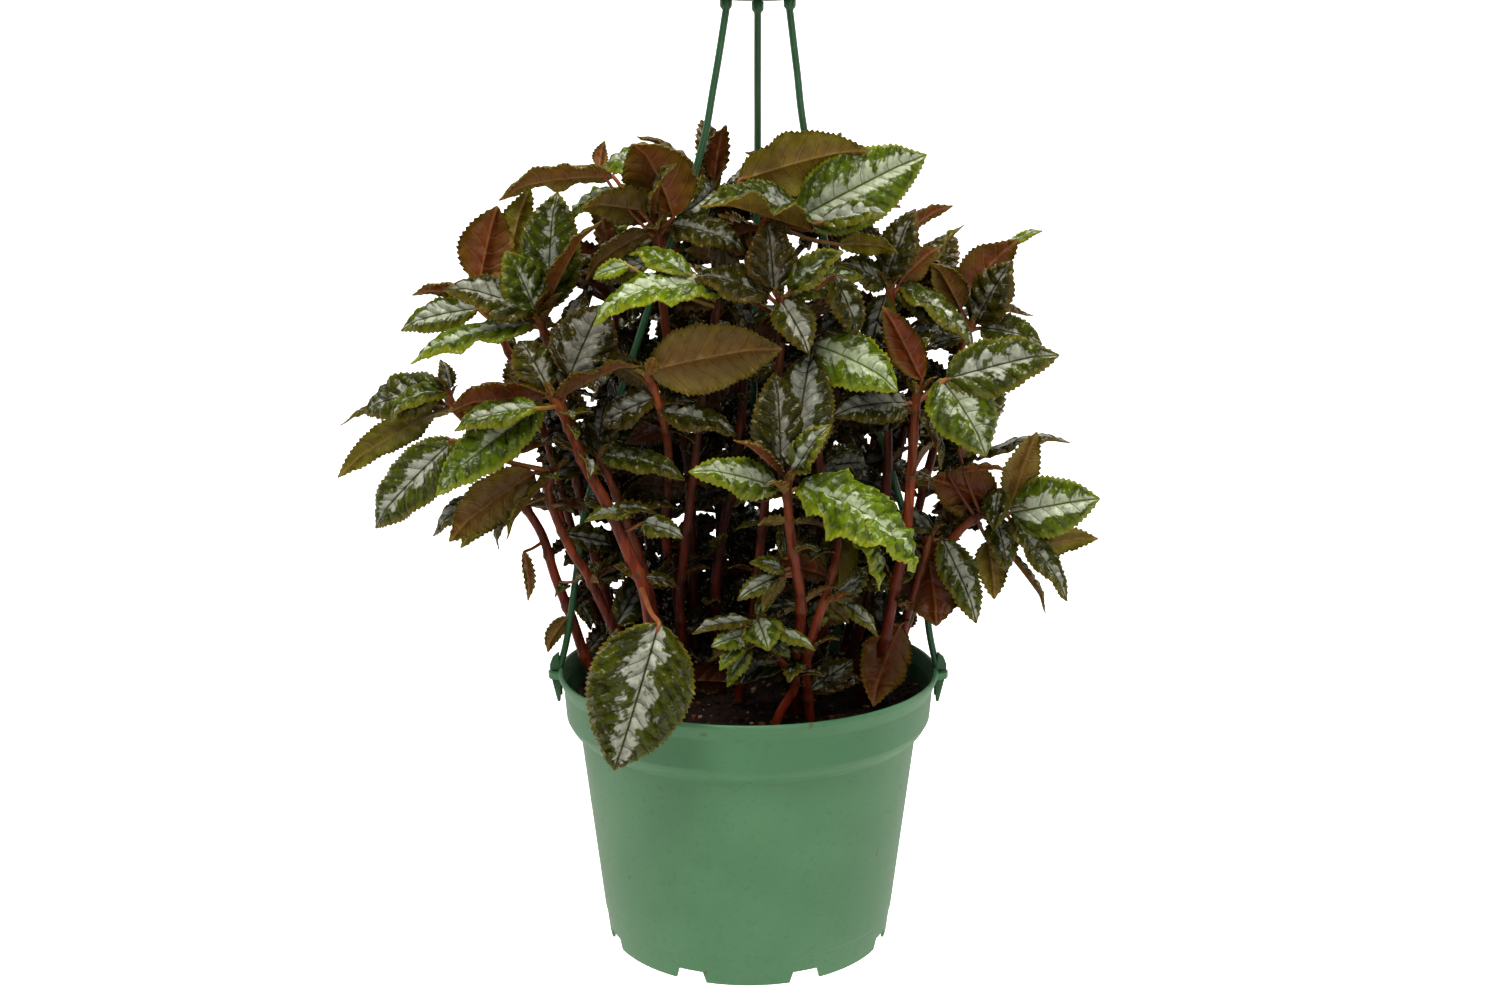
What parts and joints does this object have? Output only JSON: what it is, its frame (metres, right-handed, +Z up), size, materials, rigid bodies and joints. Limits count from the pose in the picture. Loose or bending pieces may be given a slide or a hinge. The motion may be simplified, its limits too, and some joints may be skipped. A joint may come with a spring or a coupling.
{
  "type": "potted bronze pilea",
  "caption": "Bushy bronze pilea with toothed, quilted leaves, silver bands and red stems, in a green plastic grower's pot on a hooked strand hanger.",
  "frame": {"origin": "the top inside of the hanger's hook, where a rail or a ceiling hook bears", "axes": "+Z up, along the hanger and the pot; the picture looks along +Y; +X is the picture's right"},
  "size_m": [0.3292, 0.241, 0.473],
  "materials": {
    "pot_green": "satin moulded plastic",
    "hanger_green": "smooth moulded plastic",
    "soil_brown": "rough, damp potting mix",
    "leaf_and_stem": "quilted leaves with a soft shine"
  },
  "bodies": {
    "root": {"pot": "pot_green", "soil": "soil_brown", "hanger_hook": "hanger_green", "strand_left": "hanger_green", "strand_right": "hanger_green", "strand_back": "hanger_green", "stem_crown_centre": "leaf_and_stem", "stem_crown_left": "leaf_and_stem", "stem_left_upper": "leaf_and_stem", "stem_left_outer": "leaf_and_stem", "stem_left_tip": "leaf_and_stem", "stem_left_low": "leaf_and_stem", "stem_left_front": "leaf_and_stem", "stem_inner_left": "leaf_and_stem", "stem_arching": "leaf_and_stem", "stem_tan_leaf": "leaf_and_stem", "stem_centre_star": "leaf_and_stem", "stem_front_crown": "leaf_and_stem", "stem_green_right": "leaf_and_stem", "stem_right_whorl": "leaf_and_stem", "stem_right_upper": "leaf_and_stem", "stem_right_top": "leaf_and_stem", "stem_right_shoot": "leaf_and_stem", "stem_right_low": "leaf_and_stem", "stem_front_low": "leaf_and_stem", "stem_low_right": "leaf_and_stem", "stem_back_a": "leaf_and_stem", "stem_back_b": "leaf_and_stem", "stem_back_c": "leaf_and_stem", "stem_back_d": "leaf_and_stem", "stem_back_e": "leaf_and_stem", "stem_back_f": "leaf_and_stem", "stem_back_g": "leaf_and_stem", "stem_back_h": "leaf_and_stem", "stem_back_i": "leaf_and_stem", "stem_inner_a": "leaf_and_stem", "stem_inner_b": "leaf_and_stem", "stem_inner_c": "leaf_and_stem"}
  },
  "joints": []
}
